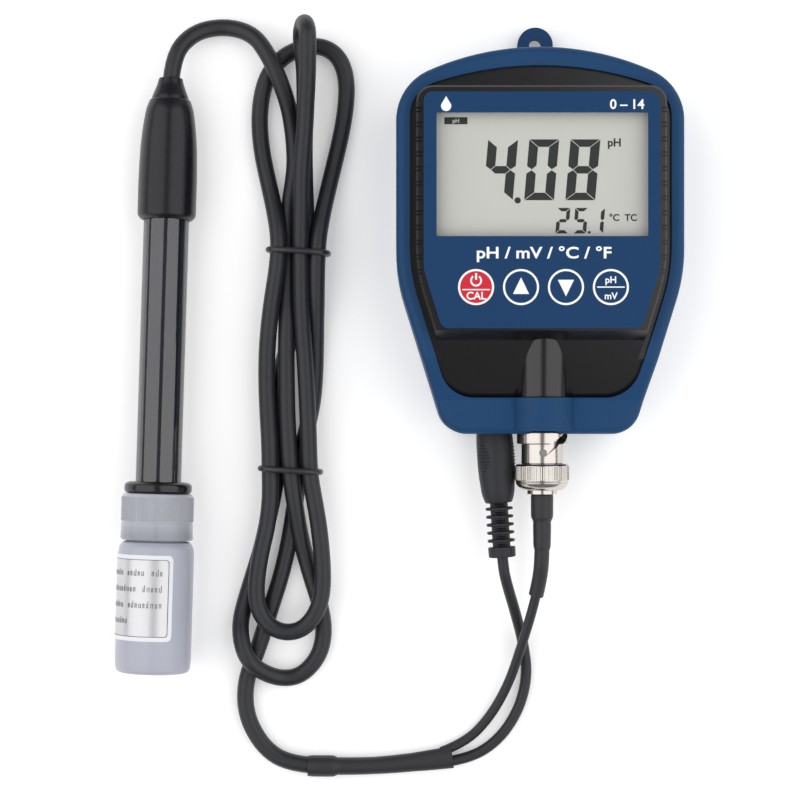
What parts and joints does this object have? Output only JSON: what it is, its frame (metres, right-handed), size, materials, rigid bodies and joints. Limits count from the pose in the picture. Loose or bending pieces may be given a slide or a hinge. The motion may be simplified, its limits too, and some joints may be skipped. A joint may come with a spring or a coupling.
{
  "type": "handheld ph meter",
  "caption": "Handheld pH meter in a rubber boot with a display and round keys, joined by a folded cord to an electrode kept in a storage bottle.",
  "frame": {"origin": "middle of the meter's back, on the surface it lies on", "axes": "+X right across the display, +Y towards the hanging loop, +Z out of the display"},
  "size_m": [0.1481, 0.202, 0.0323],
  "materials": {
    "boot": "matte, fine grain",
    "case": "matte, fine grain",
    "film": "satin, printed",
    "lens": "clear",
    "key_red": "satin, printed",
    "key_blue": "satin, printed",
    "dome": "bright",
    "lcd": "clear over a grey reflector",
    "frame": "matte",
    "zebra": "striped",
    "board": "solder mask",
    "parts": "matte",
    "screw": "zinc plated",
    "cell": "printed sleeve",
    "contact": "nickel plated",
    "wire_red": "satin",
    "wire_black": "satin",
    "wire_grey": "satin",
    "nickel": "turned, nickel plated",
    "brass": "gold plated",
    "insulator": "waxy",
    "gasket": "matte",
    "sleeve": "satin shrink tube",
    "plug": "satin moulded",
    "cord": "satin",
    "tie": "satin",
    "handle": "satin",
    "tube": "smoky translucent",
    "glass": "clear",
    "silver": "satin",
    "epoxy": "satin",
    "seal": "black, smooth",
    "cap": "translucent",
    "bottle": "translucent",
    "label": "silver film",
    "solution": "clear liquid"
  },
  "bodies": {
    "meter": {"boot": "boot", "front_case": "case", "rear_case": "case", "case_screws": "screw", "overlay": "film", "window_lens": "lens", "dome_power": "dome", "dome_up": "dome", "dome_down": "dome", "dome_mode": "dome", "lcd_glass": "lcd", "lcd_frame": "frame", "zebra_strips": "zebra", "main_board": "board", "board_parts": "parts", "board_screws": "screw", "battery_cells": "cell", "battery_contacts": "contact", "lead_red": "wire_red", "lead_black": "wire_black", "signal_leads": "wire_grey", "bnc_jack_shell": "nickel", "bnc_jack_insulator": "insulator", "bnc_jack_contact": "brass", "bnc_jack_nut": "nickel", "temp_jack": "plug", "probe_relief": "plug", "probe_handle": "handle", "probe_tube": "tube", "probe_stem": "glass", "probe_wire": "silver", "probe_junction": "epoxy", "temp_sensor": "epoxy", "cord_probe_end": "cord", "cord_hank": "cord", "cord_tail": "cord", "tie_upper": "tie", "tie_lower": "tie", "y_sleeve": "sleeve", "branch_ph": "cord", "branch_temp": "cord"},
    "key_power_body": {"key_power": "key_red"},
    "key_up_body": {"key_up": "key_blue"},
    "key_down_body": {"key_down": "key_blue"},
    "key_mode_body": {"key_mode": "key_blue"},
    "door": {"battery_door": "case"},
    "probe_plug": {"bnc_plug_body": "nickel", "bnc_plug_insulator": "insulator", "bnc_plug_pin": "brass", "bnc_gasket": "gasket", "bnc_sleeve": "sleeve"},
    "locking_ring": {"bnc_ring": "nickel"},
    "temp_plug": {"temp_plug_body": "plug", "temp_plug_pin": "nickel", "temp_relief": "plug"},
    "cap": {"cap_seal": "seal", "bottle_cap": "cap"},
    "liquid": {"storage_solution": "solution"},
    "bottle": {"storage_bottle": "bottle", "bottle_label": "label"}
  },
  "joints": [
    {"name": "press_power", "type": "slide", "parent": "meter", "child": "key_power_body", "axis": [0, 0, -1], "range_m": [0, 0.0004], "stiffness_N_per_m": 500, "springref_m": -0.002, "deforming": ["dome_power"]},
    {"name": "press_up", "type": "slide", "parent": "meter", "child": "key_up_body", "axis": [0, 0, -1], "range_m": [0, 0.0004], "stiffness_N_per_m": 500, "springref_m": -0.002, "deforming": ["dome_up"]},
    {"name": "press_down", "type": "slide", "parent": "meter", "child": "key_down_body", "axis": [0, 0, -1], "range_m": [0, 0.0004], "stiffness_N_per_m": 500, "springref_m": -0.002, "deforming": ["dome_down"]},
    {"name": "press_mode", "type": "slide", "parent": "meter", "child": "key_mode_body", "axis": [0, 0, -1], "range_m": [0, 0.0004], "stiffness_N_per_m": 500, "springref_m": -0.002, "deforming": ["dome_mode"]},
    {"name": "door_swing", "type": "hinge", "parent": "meter", "child": "door", "pos_m": [0, -0.0024, 0.0036], "axis": [-1, 0, 0], "range_deg": [0, 80]},
    {"name": "probe_plug_pull", "type": "slide", "parent": "meter", "child": "probe_plug", "axis": [0, -1, 0], "range_m": [0, 0.012], "deforming": ["branch_ph"]},
    {"name": "ring_turn", "type": "hinge", "parent": "probe_plug", "child": "locking_ring", "pos_m": [0.0011, -0.057, 0.0155], "axis": [0, -1, 0], "range_deg": [0, 180]},
    {"name": "temp_plug_pull", "type": "slide", "parent": "meter", "child": "temp_plug", "axis": [0, -1, 0], "range_m": [0, 0.015], "deforming": ["branch_temp"]},
    {"name": "cap_slide", "type": "slide", "parent": "meter", "child": "cap", "axis": [-0.0284, -0.9993, 0.024], "range_m": [0, 0.045]},
    {"name": "bottle_unscrew", "type": "slide", "parent": "cap", "child": "liquid", "axis": [-0.0284, -0.9993, 0.024], "range_m": [0, 0.003]},
    {"name": "bottle_turn", "type": "hinge", "parent": "liquid", "child": "bottle", "pos_m": [-0.10011, -0.07622, 0.00999], "axis": [-0.0284, -0.9993, 0.024], "range_deg": [0, 440]}
  ],
  "couplings": [
    {"joint": "ring_turn", "follows": "probe_plug_pull", "rad_per_m": 257.51},
    {"joint": "bottle_turn", "follows": "bottle_unscrew", "rad_per_m": 2513.3}
  ]
}
